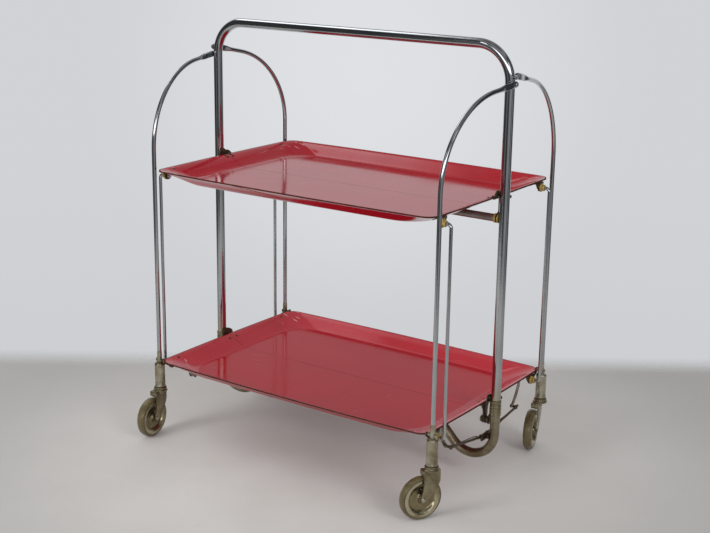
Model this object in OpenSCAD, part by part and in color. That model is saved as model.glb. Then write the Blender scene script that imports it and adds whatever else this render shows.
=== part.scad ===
// Folding two-tier serving trolley on four swivel casters.
// Millimetres. Origin on the floor under the centre; X along the trays,
// -Y is the front side, Z is up. Drawn standing open.

/* [Overall] */
// Height of the handle's top above the floor
total_h = 770; // [740:1:800]
// Half of the distance between the two uprights
upright_x = 310; // [308:1:316]
// Outer diameter of the main frame tube
frame_d = 17; // [16:0.5:18]
// Wall thickness of the frame tube
frame_wall = 1.3; // [1:0.1:2]
// Centre-line radius of the handle's corners
handle_r = 60; // [50:1:70]

/* [Trays] */
// Half length of a tray at its rim
tray_l = 294.5; // [290:0.5:295]
// Half width of a tray at its rim
tray_w = 204; // [200:1:210]
// Height of the upper tray's rim
upper_rim_z = 512; // [505:1:520]
// Height of the lower tray's rim
lower_rim_z = 151; // [148:1:156]
// Depth of a tray from rim to floor
tray_depth = 21; // [16:1:24]
// Horizontal run of the sloping rim
rim_run = 32; // [26:1:36]
// Thickness of the tray board
tray_t = 3; // [2.5:0.1:3.5]
// Outer corner radius of a tray
tray_r = 44; // [38:1:60]

/* [Legs] */
// Distance of the leg rods from the centre plane, along X
leg_x = 300; // [299.5:0.1:301]
// Distance of the leg rods from the centre plane, along Y
leg_y = 190; // [186:1:196]
// Diameter of the leg rods
leg_d = 8; // [7:0.1:8]
// Radius of the arch at the top of a leg
arch_r = 150; // [140:1:155]
// Height of the front legs' pivot on the uprights
pivot_front_z = 700; // [698:1:702]
// Height of the rear legs' pivot on the uprights
pivot_rear_z = 713; // [712:1:714]

/* [Link rods] */
// Distance of the link rods from the centre plane, along X
link_x = 307.6; // [307:0.1:310]
// Distance of the link rods from the centre plane, along Y
link_y = 166.5; // [164:0.5:168]
// Diameter of the link rods
link_d = 6; // [5:0.1:6.4]

/* [Casters] */
// Diameter of the wheels
wheel_d = 75; // [70:1:76]
// Width of the tyres
tyre_w = 16; // [14:1:17]
// Distance of the wheel axle behind the swivel axis
trail = 13; // [12:0.5:14]
// Sideways distance from the swivel axis to the wheel's middle
wheel_side = 12; // [12:0.5:13]

/* [Hidden] */
$fn = 48;

fr = frame_d / 2;
lr = leg_d / 2;
kr = link_d / 2;
wr = wheel_d / 2;
handle_z = total_h - fr;             // centre line of the handle's top run
hinge_drop = 37;                     // hinge axis below a tray's rim
hinge_u = upper_rim_z - hinge_drop;  // upper hinge axis
hinge_l = lower_rim_z - hinge_drop;  // lower hinge axis
bar_r = 6.5;                         // grab bar radius
pin_r = 4;                           // lower hinge pin radius
joint_z = 150;                       // leg pin on the lower tray
sock_t = 145;                        // caster socket, top
sock_b = 98;                         // caster socket, bottom
sock_r = 9;
stem_r = 4.5;
bush_drop = 14;                      // link bush axis below a tray's rim
stay_y = 11;                         // stay pivot on the frame
stay_z = 84.2;
stay_gy = 114;                       // stay joint on the tray arm
stay_gz = 100;
run = 0.05;                          // running clearance
seam = 0.3;                          // half of the gap between tray halves

// colours
chrome = [0.80, 0.81, 0.83];
nickel = [0.52, 0.49, 0.40];
bronze = [0.24, 0.18, 0.12];
brassy = [0.72, 0.56, 0.22];
red = [0.72, 0.06, 0.10];
tyre_c = [0.42, 0.37, 0.25];
disc_c = [0.50, 0.42, 0.28];

// a rod along X between two x values
module xrod(x0, x1, r) { translate([min(x0, x1), 0, 0]) rotate([0, 90, 0]) cylinder(h = abs(x1 - x0), r = r); }
module xtube(x0, x1, r, ri) {
  difference() { xrod(x0, x1, r); xrod(min(x0, x1) - 1, max(x0, x1) + 1, ri); }
}
// a bend in the XZ plane: centre c, from angle a by da, centre-line radius R
module xzbend(c, R, a, da, r, ri = 0) {
  translate([c[0], 0, c[1]]) rotate([90, 0, 0]) rotate([0, 0, a])
    rotate_extrude(angle = da) translate([R, 0]) difference() { circle(r = r); if (ri > 0) circle(r = ri); }
}
// a tube between two points of the XZ plane
module xztube(p, q, r, ri = 0) {
  L = norm(q - p);
  a = atan2(q[0] - p[0], q[1] - p[1]);
  translate([p[0], 0, p[1]]) rotate([0, a, 0]) difference() {
    cylinder(h = L, r = r);
    if (ri > 0) translate([0, 0, -1]) cylinder(h = L + 2, r = ri);
  }
}

// a thin weld bead round a tube joint at p, for a tangent at angle a from +X towards +Z
module bead(p, a, r, ri = 0) {
  translate([p[0], 0, p[1]]) rotate([0, 90 - a, 0]) difference() {
    cylinder(h = 0.8, r = r + 0.08, center = true);
    if (ri > 0) cylinder(h = 2, r = ri - 0.08, center = true);
  }
}

// ---------------------------------------------------------------- frame
module handle_frame() {
  color(chrome) union() {
    ri = fr - frame_wall;
    for (s = [-1, 1]) translate([s * upright_x, 0, 141]) difference() {
      cylinder(h = handle_z - handle_r - 141, r = fr);
      translate([0, 0, -1]) cylinder(h = handle_z - handle_r - 139, r = ri);
    }
    xzbend([upright_x - handle_r, handle_z - handle_r], handle_r, 0, 90, fr, ri);
    xzbend([-upright_x + handle_r, handle_z - handle_r], handle_r, 90, 90, fr, ri);
    xztube([-upright_x + handle_r, handle_z], [upright_x - handle_r, handle_z], fr, ri);
  }
}
bow_r = 47;   // radius of the base bow's ends
bow_z = 92;   // height of their centres
bow_run = 95; // height of the cross run under the lower tray
module base_bow() {
  ri = fr - frame_wall;
  k = sqrt(0.5);
  rise = bow_run - (bow_z - bow_r * k) - 30 * (1 - k);
  p = [upright_x - bow_r - bow_r * k, bow_z - bow_r * k];
  q = p + [-rise, rise];
  color(nickel) union() {
    for (s = [0, 1]) mirror([s, 0, 0]) {
      xztube([upright_x, bow_z], [upright_x, 140], fr, ri);
      xzbend([upright_x - bow_r, bow_z], bow_r, -135, 135, fr, ri);
      xztube(q, p, fr, ri);
      xzbend(q + [-30 * k, -30 * k], 30, 45, 45, fr, ri);
      bead([upright_x, bow_z], 90, fr, ri);
      bead(p, 135, fr, ri);
      bead(q, 135, fr, ri);
      bead([q[0] - 30 * k, bow_run], 0, fr, ri);
    }
    xztube([-(q[0] - 30 * k), bow_run], [q[0] - 30 * k, bow_run], fr, ri);
  }
}
// grooved sleeve where each upright meets the base bow
module frame_ferrules() {
  color(nickel) for (s = [-1, 1]) translate([s * upright_x, 0, 0])
    rotate_extrude() polygon([[fr + run, 126], [9.6, 126], [9.6, 133], [9.95, 134], [9.95, 136],
      [9.4, 137], [9.4, 140], [9.95, 141], [9.95, 143], [9.4, 144], [9.4, 147], [9.95, 148],
      [9.95, 150], [9.6, 151], [9.6, 155], [fr + run, 155]]);
}
// plate on each side of the bow that carries the two stay pivots
module stay_brackets() {
  color(bronze) for (s = [0, 1]) mirror([s, 0, 0]) difference() {
    union() {
      translate([292.5, -18, stay_z - 7]) cube([2.5, 36, 14]);
      translate([295, -5, stay_z - 4]) cube([8, 10, 8]);
      for (t = [-1, 1]) translate([0, t * stay_y, stay_z]) xrod(288.4, 292.5, 2.5);
      for (t = [-1, 1]) translate([0, t * stay_y, stay_z]) xrod(287.2, 288.4, 4.2);
    }
    translate([upright_x, 0, bow_z - 1]) cylinder(h = 60, r = fr + 0.12);
    xzbend([upright_x - bow_r, bow_z], bow_r, -60, 60, fr + 0.12);
  }
}

// ------------------------------------------------- upper slider and bar
module grab_bar() { color(bronze) translate([0, 0, hinge_u]) xtube(-296.5, 296.5, bar_r, 5.3); }
module grab_bar_bushes() {
  color(brassy) for (s = [0, 1]) mirror([s, 0, 0]) translate([0, 0, hinge_u]) xtube(290.5, 296.5, 7.6, bar_r + run);
}
// plate beside the upright with a ring that slides on it
module slider(z_axis, z_top, z_ring, hole) {
  difference() {
    union() {
      translate([296.5, -9, z_axis - 2]) cube([2.9, 18, z_top - z_axis + 2]);
      translate([0, 0, z_axis]) xrod(296.5, 299.4, 9);
      translate([upright_x, 0, z_ring]) cylinder(h = 7, r = 10.6);
      translate([298.5, -5, z_ring]) cube([3, 10, 7]);
    }
    translate([upright_x, 0, z_ring - 60]) cylinder(h = 150, r = fr + run);
    if (hole > 0) translate([0, 0, z_axis]) xrod(290, 300, hole);
  }
}
module upper_sliders() {
  color(bronze) for (s = [0, 1]) mirror([s, 0, 0]) slider(hinge_u, 523, 495, 0);
}
module lower_sliders() {
  color(bronze) for (s = [0, 1]) mirror([s, 0, 0]) slider(hinge_l, 163, 156, pin_r + run);
}
module lower_hinge_pins() {
  color(nickel) for (s = [0, 1]) mirror([s, 0, 0]) translate([0, 0, hinge_l]) { xrod(284.5, 299.4, pin_r); xrod(282.5, 284.5, 6); }
}

// ---------------------------------------------------------------- trays
// one half of a tray, t = -1 front, t = 1 rear
module panel(z, t) {
  cx = tray_l - tray_r;
  cy = tray_w - tray_r;
  ir = tray_r - rim_run;
  d = tray_depth;
  sec = [[0, 0], [rim_run, -d], [rim_run, -d - tray_t], [0, -tray_t]];
  color(red) mirror([0, t > 0 ? 1 : 0, 0]) translate([0, 0, z]) union() {
    // floor
    translate([0, 0, -d - tray_t]) linear_extrude(tray_t) union() {
      translate([-cx, -cy - ir]) square([2 * cx, cy + ir - seam]);
      translate([-cx - ir, -cy]) square([2 * (cx + ir), cy - seam]);
      for (s = [-1, 1]) translate([s * cx, -cy]) circle(r = ir);
    }
    // long side of the rim
    translate([-cx, 0, 0]) rotate([90, 0, 90]) linear_extrude(2 * cx)
      polygon([for (p = sec) [-tray_w + p[0], p[1]]]);
    // ends of the rim
    for (s = [0, 1]) mirror([s, 0, 0]) translate([0, -seam, 0]) rotate([90, 0, 0]) linear_extrude(cy - seam)
      polygon([for (p = sec) [tray_l - p[0], p[1]]]);
    // corners of the rim
    for (s = [0, 1]) mirror([s, 0, 0]) translate([cx, -cy, 0]) rotate([0, 0, -90]) rotate_extrude(angle = 90)
      polygon([for (p = sec) [tray_r - p[0], p[1]]]);
  }
}
function under(x) = -tray_t - (tray_l - x) * tray_depth / rim_run; // rim underside, below the rim

// sloping flange against the rim's underside from x0 to x1, y0 to y1, 2 mm thick
module slope_flange(x0, x1, y0, y1) {
  translate([0, y1, 0]) rotate([90, 0, 0]) linear_extrude(y1 - y0)
    polygon([[x0, under(x0)], [x1, under(x1)], [x1, under(x1) - 2], [x0, under(x0) - 2]]);
}
// corner bracket: seat of the link bush, and on the lower tray the leg pin's ear too
module corner_bracket(pin_plate) {
  cy = tray_w - tray_r;
  difference() {
    union() {
      translate([0, -cy + 14, 0]) rotate([90, 0, 0]) linear_extrude(14)
        polygon([[288.3, -18], [290.7, -18], [290.7, under(290.7)], [288.3, under(288.3)]]);
      slope_flange(268, 290.7, -cy, -cy + 14);
      translate([0, -link_y, -bush_drop]) xrod(288.3, 290.7, 6.8);
      translate([288.3, 0, 0]) rotate([90, 0, 90]) linear_extrude(2.4)
        polygon([[-cy + 14, -12], [-cy, -7.3], [-cy - 14, -7.3], [-cy - 15, -10], [-cy - 11, -18], [-cy + 2, -20.5], [-cy + 14, -18]]);
      if (pin_plate) {
        translate([0, -leg_y, joint_z - lower_rim_z]) xrod(288.3, 290.7, 5.4);
        translate([288.3, 0, 0]) rotate([90, 0, 90]) linear_extrude(2.4)
          polygon([[-cy - 8, -7.3], [-leg_y + 4, -4.6], [-leg_y - 5.2, -2], [-leg_y - 3, -6.5], [-cy - 8, -20]]);
      }
    }
    translate([0, -link_y, -bush_drop]) xrod(280, 300, kr + 0.1);
    if (pin_plate) translate([0, -leg_y, joint_z - lower_rim_z]) xrod(280, 292, 2.5 + run);
  }
}
module bushes(z, t) {
  color(brassy) mirror([0, t > 0 ? 1 : 0, 0]) translate([0, 0, z]) for (s = [0, 1]) mirror([s, 0, 0])
    translate([0, -link_y, -bush_drop]) difference() {
      union() { xrod(290.7, 292.7, 6.8); xrod(292.7, 299, 5.6); }
      xrod(280, 310, kr + run);
    }
}
// hinge leaf of the upper tray round the grab bar, x0 is its inner face
module upper_leaf(x0) {
  difference() {
    union() {
      translate([x0, 0, -hinge_drop]) xrod(0, 4, 10);
      translate([x0, -34, -37]) cube([4, 34, 9]);
      translate([x0, -40, -37]) cube([4, 22, 13]);
      translate([x0 - 8, -40, -26]) cube([20, 36, 2]);
    }
    translate([x0, 0, -hinge_drop]) xrod(-1, 5, bar_r + run);
  }
}
module upper_fittings(t) {
  color(bronze) mirror([0, t > 0 ? 1 : 0, 0]) translate([0, 0, upper_rim_z]) for (s = [0, 1]) mirror([s, 0, 0]) {
    upper_leaf(t < 0 ? 118 : 123);
    corner_bracket(false);
  }
}
// end leaf of the lower tray round its hinge pin
module lower_leaf(x0) {
  difference() {
    union() {
      translate([0, 0, -hinge_drop]) xrod(x0, x0 + 3, 8);
      translate([0, -4, 0]) rotate([90, 0, 0]) linear_extrude(14)
        polygon([[x0, -41], [x0 + 3, -41], [x0 + 3, under(x0 + 3)], [x0, under(x0)]]);
      slope_flange(268, x0 + 3, -30, -4);
    }
    translate([0, 0, -hinge_drop]) xrod(x0 - 1, x0 + 4, pin_r + run);
  }
}
module lower_fittings(t) {
  color(bronze) mirror([0, t > 0 ? 1 : 0, 0]) translate([0, 0, lower_rim_z]) for (s = [0, 1]) mirror([s, 0, 0]) {
    lower_leaf(t < 0 ? 290.5 : 286.5);
    corner_bracket(true);
  }
}
module leg_pins(t) {
  color(nickel) mirror([0, t > 0 ? 1 : 0, 0]) for (s = [0, 1]) mirror([s, 0, 0]) translate([0, -leg_y, joint_z]) {
    xrod(288.3, 305.2, 2.5);
    xrod(286.8, 288.3, 4);
    xrod(305.2, 306.4, 4);
  }
}
// bent arm from the lower tray's underside down to the stay joint
module stay_arms(t) {
  gz = stay_gz - lower_rim_z;
  color(bronze) mirror([0, t > 0 ? 1 : 0, 0]) translate([0, 0, lower_rim_z]) for (s = [0, 1]) mirror([s, 0, 0]) {
    slope_flange(270, 282.5, -146, -128);
    translate([280, 0, 0]) rotate([90, 0, 90]) linear_extrude(2.5) polygon([
      [-142, -12.7], [-132, -12.7], [-125, gz + 20], [-stay_gy + 4, gz - 3], [-stay_gy - 4, gz - 4], [-stay_gy - 5, gz + 1], [-134, gz + 22]]);
  }
}
module stay_links(t) {
  L = norm([stay_gy - stay_y, stay_gz - stay_z]);
  a = atan2(stay_gz - stay_z, stay_gy - stay_y);
  color(bronze) mirror([0, t > 0 ? 1 : 0, 0]) for (s = [0, 1]) mirror([s, 0, 0])
    translate([0, -stay_y, stay_z]) rotate([-a, 0, 0]) difference() {
      union() {
        translate([289, -L, -3.5]) cube([2.2, L, 7]);
        xrod(289, 291.2, 5);
        translate([0, -L, 0]) xrod(289, 291.2, 5);
        translate([0, -L, 0]) xrod(284, 289, 2.5);
      }
      xrod(280, 300, 2.5 + run);
    }
}

// ----------------------------------------------------------------- legs
leg_tilt = atan2(321.4 - leg_x, leg_y - 6);
// leg rod with its arch; cz is the height where the arch begins, e the arch's end angle
module leg_rod(cz, e, zp) {
  reach = (leg_y - 5) / cos(leg_tilt);
  p = [arch_r - arch_r * cos(e), cz + arch_r * sin(e)];
  q = [reach, p[1] + (reach - p[0]) / tan(e)];
  translate([leg_x, -leg_y, 0]) rotate([0, 0, 90 - leg_tilt]) difference() {
    union() {
      translate([0, 0, 168]) cylinder(h = cz - 168, r = lr);
      xzbend([arch_r, cz], arch_r, 180 - e, e, lr);
      xztube(p, q, lr);
      bead([0, cz], 90, lr);
      bead(p, 90 - e, lr);
    }
  }
  translate([0, 0, zp]) xrod(318.9, 322.5, 6);
}
module leg(t, s) {
  color(chrome) mirror([s < 0 ? 1 : 0, 0, 0]) mirror([0, t > 0 ? 1 : 0, 0])
    if (t < 0) leg_rod(545, 83, pivot_front_z); else leg_rod(552, 78, pivot_rear_z);
}
module ferrules(t) {
  color(nickel) mirror([0, t > 0 ? 1 : 0, 0]) for (s = [0, 1]) mirror([s, 0, 0]) difference() {
    translate([leg_x, -leg_y, 0]) rotate_extrude()
      polygon([[0, 145], [4.8, 145], [4.8, 171], [4.4, 173], [lr, 173], [lr, 168], [0, 168]]);
    translate([0, -leg_y, joint_z]) xrod(290, 310, 2.5 + run);
  }
}
module sockets(t) {
  color(nickel) mirror([0, t > 0 ? 1 : 0, 0]) for (s = [0, 1]) mirror([s, 0, 0]) translate([leg_x, -leg_y, 0])
    rotate_extrude() polygon([[stem_r + run, sock_b], [sock_r, sock_b], [sock_r, sock_t - 3], [sock_r - 1.5, sock_t],
      [0, sock_t], [0, sock_t - 3.5], [stem_r + run, sock_t - 3.5]]);
}

// ------------------------------------------------------------ link rods
module link_rod(t, s) {
  zt = upper_rim_z - bush_drop;
  zb = lower_rim_z - bush_drop;
  b = 7;
  color(chrome) mirror([s < 0 ? 1 : 0, 0, 0]) mirror([0, t > 0 ? 1 : 0, 0]) translate([0, -link_y, 0]) union() {
    translate([link_x, 0, zb + b]) cylinder(h = zt - zb - 2 * b, r = kr);
    xzbend([link_x - b, zt - b], b, 0, 90, kr);
    xzbend([link_x - b, zb + b], b, -90, 90, kr);
    for (z = [zt, zb]) translate([0, 0, z]) { xrod(287.3, link_x - b, kr); xrod(286, 287.3, 4.5); }
    bead([link_x, zb + b], 90, kr);
    bead([link_x, zt - b], 90, kr);
    bead([link_x - b, zb], 0, kr);
    bead([link_x - b, zt], 0, kr);
  }
}

// -------------------------------------------------------------- casters
// s, t place the caster at a leg; e is the direction in which it trails
module caster(s, t, e) { translate([s * leg_x, t * leg_y, 0]) rotate([0, 0, e]) children(); }
module fork() {
  color(nickel) union() {
    translate([0, 0, 84]) cylinder(h = 56, r = stem_r);
    translate([0, 0, 90]) cylinder(h = 7.6, r = 9.7);
    // crown
    translate([-8, -16, 85.6]) cube([18, 24, 2.4]);
    translate([0, 0, 84]) cylinder(h = 6, r = 8);
    // arm beside the wheel
    difference() {
      translate([0, 0.6, 0]) rotate([90, 0, 0]) linear_extrude(3)
        polygon([[-8, 88], [10, 88], [11, 78], [trail + 6.5, wr + 6], [trail + 6.5, wr - 4], [trail + 3, wr - 7],
          [trail - 3, wr - 7], [trail - 6.5, wr - 4], [trail - 7, wr + 6], [-3, 70], [-8, 78]]);
      translate([trail, -5, wr]) rotate([-90, 0, 0]) cylinder(h = 10, r = 2.5 + run);
    }
  }
}
module axle() {
  color(nickel) translate([trail, 0, wr]) rotate([90, 0, 0]) {
    translate([0, 0, -0.6]) cylinder(h = 21.6, r = 2.5);
    translate([0, 0, -2.4]) cylinder(h = 1.8, r = 4.5);
    translate([0, 0, 19.6]) cylinder(h = 1.8, r = 5);
  }
}
module disc() {
  h = wheel_side - 6.5;
  color(disc_c) translate([trail, 0, wr]) rotate([90, 0, 0]) translate([0, 0, wheel_side]) rotate_extrude()
    polygon([[2.5 + run, -7], [7, -7], [9, -3.4], [25, -2.4], [26.5, -6], [28.5, -6], [28.5, 6], [26.5, 6],
      [25, 2.4], [9, 3.4], [7, 7], [2.5 + run, 7]]);
}
module tyre() {
  w = tyre_w / 2;
  color(tyre_c) translate([trail, 0, wr]) rotate([90, 0, 0]) translate([0, 0, wheel_side]) rotate_extrude()
    polygon([[28.5, -6.5], [29.5, -w + 0.6], [31, -w], [34, -w], [36.2, -w + 1.4], [37.2, -w + 3.6], [wr, -2],
      [wr, 2], [37.2, w - 3.6], [36.2, w - 1.4], [34, w], [31, w], [29.5, w - 0.6], [28.5, 6.5]]);
}

FL = [-1, -1, -84];
FR = [1, -1, -119];
RL = [-1, 1, 90];
RR = [1, 1, -74];

handle_frame();
base_bow();
frame_ferrules();
stay_brackets();
grab_bar();
grab_bar_bushes();
upper_sliders();
lower_sliders();
lower_hinge_pins();
panel(upper_rim_z, -1);  // upper_tray_front
upper_fittings(-1);  // upper_front_fittings
bushes(upper_rim_z, -1);  // upper_front_bushes
panel(upper_rim_z, 1);  // upper_tray_rear
upper_fittings(1);  // upper_rear_fittings
bushes(upper_rim_z, 1);  // upper_rear_bushes
panel(lower_rim_z, -1);  // lower_tray_front
lower_fittings(-1);  // lower_front_fittings
bushes(lower_rim_z, -1);  // lower_front_bushes
leg_pins(-1);  // front_leg_pins
stay_arms(-1);  // front_stay_arms
panel(lower_rim_z, 1);  // lower_tray_rear
lower_fittings(1);  // lower_rear_fittings
bushes(lower_rim_z, 1);  // lower_rear_bushes
leg_pins(1);  // rear_leg_pins
stay_arms(1);  // rear_stay_arms
leg(-1, -1);  // front_leg_left
leg(-1, 1);  // front_leg_right
ferrules(-1);  // front_leg_ferrules
sockets(-1);  // front_caster_sockets
leg(1, -1);  // rear_leg_left
leg(1, 1);  // rear_leg_right
ferrules(1);  // rear_leg_ferrules
sockets(1);  // rear_caster_sockets
link_rod(-1, -1);  // front_link_left
link_rod(-1, 1);  // front_link_right
link_rod(1, -1);  // rear_link_left
link_rod(1, 1);  // rear_link_right
stay_links(-1);  // front_stay_links
stay_links(1);  // rear_stay_links
caster(FL[0], FL[1], FL[2]) fork();  // fork_front_left
caster(FL[0], FL[1], FL[2]) axle();  // axle_front_left
caster(FL[0], FL[1], FL[2]) disc();  // disc_front_left
caster(FL[0], FL[1], FL[2]) tyre();  // tyre_front_left
caster(FR[0], FR[1], FR[2]) fork();  // fork_front_right
caster(FR[0], FR[1], FR[2]) axle();  // axle_front_right
caster(FR[0], FR[1], FR[2]) disc();  // disc_front_right
caster(FR[0], FR[1], FR[2]) tyre();  // tyre_front_right
caster(RL[0], RL[1], RL[2]) fork();  // fork_rear_left
caster(RL[0], RL[1], RL[2]) axle();  // axle_rear_left
caster(RL[0], RL[1], RL[2]) disc();  // disc_rear_left
caster(RL[0], RL[1], RL[2]) tyre();  // tyre_rear_left
caster(RR[0], RR[1], RR[2]) fork();  // fork_rear_right
caster(RR[0], RR[1], RR[2]) axle();  // axle_rear_right
caster(RR[0], RR[1], RR[2]) disc();  // disc_rear_right
caster(RR[0], RR[1], RR[2]) tyre();  // tyre_rear_right
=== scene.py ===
import bpy, bmesh, math
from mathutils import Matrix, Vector


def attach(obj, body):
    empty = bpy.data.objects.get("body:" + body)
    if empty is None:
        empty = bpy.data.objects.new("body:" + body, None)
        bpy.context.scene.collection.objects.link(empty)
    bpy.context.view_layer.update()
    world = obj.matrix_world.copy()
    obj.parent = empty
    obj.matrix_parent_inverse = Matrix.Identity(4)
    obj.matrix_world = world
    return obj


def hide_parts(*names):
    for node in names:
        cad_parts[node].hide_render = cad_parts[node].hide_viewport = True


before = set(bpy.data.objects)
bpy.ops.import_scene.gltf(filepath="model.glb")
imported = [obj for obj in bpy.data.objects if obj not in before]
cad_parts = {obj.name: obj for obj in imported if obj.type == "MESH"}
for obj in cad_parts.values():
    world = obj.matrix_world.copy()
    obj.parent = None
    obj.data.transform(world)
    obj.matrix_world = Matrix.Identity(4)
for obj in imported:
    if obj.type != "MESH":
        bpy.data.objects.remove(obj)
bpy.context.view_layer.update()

MM = 0.001
scene = bpy.context.scene
scene.view_settings.view_transform = "Standard"
scene.view_settings.look = "None"

# ------------------------------------------------------------------ camera
CAM = Vector((1.3336, -1.8981, 0.9921))
yaw, pitch, roll = math.radians(34.9), math.radians(15.7), math.radians(0.8)
fwd = Vector((-math.sin(yaw) * math.cos(pitch), math.cos(yaw) * math.cos(pitch), -math.sin(pitch)))
right = Vector((math.cos(yaw), math.sin(yaw), 0.0))
up = right.cross(fwd)
r2 = right * math.cos(roll) + up * math.sin(roll)
u2 = -right * math.sin(roll) + up * math.cos(roll)
cam_data = bpy.data.cameras.new("camera")
cam_data.sensor_width = 36.0
cam_data.lens = 1325.3 / 710 * 36.0
cam_data.clip_start = 0.02
cam = bpy.data.objects.new("camera", cam_data)
scene.collection.objects.link(cam)
m = cam.matrix_world.copy()
for i in range(3):
    m[i][0], m[i][1], m[i][2], m[i][3] = r2[i], u2[i], -fwd[i], CAM[i]
cam.matrix_world = m
scene.camera = cam


# --------------------------------------------------------------- materials
class Mat:
    """A Principled material with object-space noise in colour, roughness and bump."""

    def __init__(self, name):
        self.m = bpy.data.materials.new(name)
        self.m.use_nodes = True
        self.t = self.m.node_tree
        self.t.nodes.clear()
        self.out = self.n("ShaderNodeOutputMaterial")
        self.b = self.n("ShaderNodeBsdfPrincipled")
        self.l(self.b.outputs[0], self.out.inputs[0])
        self.tc = self.n("ShaderNodeTexCoord")
        self.co = self.tc.outputs["Object"]

    def n(self, kind, **kw):
        node = self.t.nodes.new(kind)
        for k, v in kw.items():
            setattr(node, k, v)
        return node

    def l(self, a, b):
        self.t.links.new(a, b)

    def noise(self, scale, detail=4.0, rough=0.55, stretch=None, distort=0.0, off=(0, 0, 0)):
        mp = self.n("ShaderNodeMapping")
        mp.inputs["Scale"].default_value = stretch or (1, 1, 1)
        mp.inputs["Location"].default_value = off
        self.l(self.co, mp.inputs["Vector"])
        nz = self.n("ShaderNodeTexNoise")
        nz.inputs["Scale"].default_value = scale
        nz.inputs["Detail"].default_value = detail
        nz.inputs["Roughness"].default_value = rough
        nz.inputs["Distortion"].default_value = distort
        self.l(mp.outputs[0], nz.inputs["Vector"])
        return nz.outputs[0]

    def ramp(self, src, lo, hi, a=0.0, b=1.0):
        r = self.n("ShaderNodeMapRange")
        r.interpolation_type = "SMOOTHSTEP"
        r.inputs["From Min"].default_value = lo
        r.inputs["From Max"].default_value = hi
        r.inputs["To Min"].default_value = a
        r.inputs["To Max"].default_value = b
        self.l(src, r.inputs["Value"])
        return r.outputs[0]

    def math(self, op, a, b):
        n = self.n("ShaderNodeMath", operation=op)
        for i, v in enumerate((a, b)):
            if isinstance(v, (int, float)):
                n.inputs[i].default_value = v
            else:
                self.l(v, n.inputs[i])
        return n.outputs[0]

    def mix(self, fac, a, b):
        n = self.n("ShaderNodeMix", data_type="RGBA")
        if isinstance(fac, (int, float)):
            n.inputs[0].default_value = fac
        else:
            self.l(fac, n.inputs[0])
        for i, v in ((6, a), (7, b)):
            if isinstance(v, tuple):
                n.inputs[i].default_value = (*v, 1.0)
            else:
                self.l(v, n.inputs[i])
        return n.outputs[2]

    def z(self):
        s = self.n("ShaderNodeSeparateXYZ")
        self.l(self.co, s.inputs[0])
        return s.outputs[2]

    def color(self, c):
        if isinstance(c, tuple):
            self.b.inputs["Base Color"].default_value = (*c, 1)
        else:
            self.l(c, self.b.inputs["Base Color"])

    def rough(self, r):
        if isinstance(r, (int, float)):
            self.b.inputs["Roughness"].default_value = r
        else:
            self.l(r, self.b.inputs["Roughness"])

    def bump(self, src, strength, dist):
        n = self.n("ShaderNodeBump")
        n.inputs["Strength"].default_value = strength
        n.inputs["Distance"].default_value = dist
        self.l(src, n.inputs["Height"])
        self.l(n.outputs[0], self.b.inputs["Normal"])


def chrome_mat(name, hi, lo):
    k = Mat(name)
    k.b.inputs["Metallic"].default_value = 1.0
    spots = k.ramp(k.noise(260, 5, 0.7), 0.66, 0.74)
    low = k.ramp(k.z(), hi, lo)
    blot = k.ramp(k.noise(34, 4, 0.6, stretch=(1, 1, 0.35)), 0.36, 0.66, 0.45, 1.0)
    tarn = k.math("MULTIPLY", low, blot)
    c = k.mix(k.ramp(k.noise(9, 3), 0.3, 0.7), (0.480, 0.502, 0.518), (0.570, 0.590, 0.603))
    c = k.mix(tarn, c, (0.50, 0.45, 0.32))
    c = k.mix(k.math("MULTIPLY", spots, 0.55), c, (0.22, 0.16, 0.10))
    k.color(c)
    r = k.ramp(k.noise(40, 4, 0.6, stretch=(1, 1, 0.3)), 0.3, 0.75, 0.06, 0.15)
    r = k.math("ADD", r, k.math("MULTIPLY", tarn, 0.16))
    r = k.math("ADD", r, k.math("MULTIPLY", spots, 0.3))
    k.rough(r)
    k.bump(k.noise(70, 2, 0.5), 0.012, 0.0004)
    return k.m


def nickel_mat(name="tarnished_nickel_plate", light=(0.50, 0.47, 0.37), dark=(0.25, 0.205, 0.12), rust=(0.20, 0.10, 0.05), amount=0.35, rough=0.20):
    k = Mat(name)
    k.b.inputs["Metallic"].default_value = 0.92
    a = k.ramp(k.noise(30, 6, 0.62, distort=0.4), 0.33, 0.68)
    b = k.ramp(k.noise(110, 6, 0.7, off=(3, 1, 2)), 0.60, 0.72)
    c = k.mix(a, light, dark)
    c = k.mix(k.math("MULTIPLY", b, amount), c, rust)
    k.color(c)
    r = k.ramp(k.noise(75, 5, 0.6), 0.25, 0.75, rough, rough + 0.2)
    r = k.math("ADD", r, k.math("MULTIPLY", b, 0.25))
    k.rough(r)
    k.bump(k.noise(520, 5, 0.65), 0.12, 0.0003)
    return k.m


def bronze_mat():
    k = Mat("dark_bronzed_steel")
    k.b.inputs["Metallic"].default_value = 0.85
    a = k.ramp(k.noise(70, 5, 0.65), 0.35, 0.7)
    b = k.ramp(k.noise(160, 6, 0.7, off=(5, 2, 1)), 0.60, 0.72)
    c = k.mix(a, (0.135, 0.10, 0.06), (0.07, 0.052, 0.035))
    c = k.mix(k.math("MULTIPLY", b, 0.6), c, (0.30, 0.24, 0.13))
    k.color(c)
    k.rough(k.ramp(k.noise(90, 5), 0.25, 0.75, 0.28, 0.5))
    k.bump(k.noise(480, 4, 0.6), 0.14, 0.0003)
    return k.m


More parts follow.
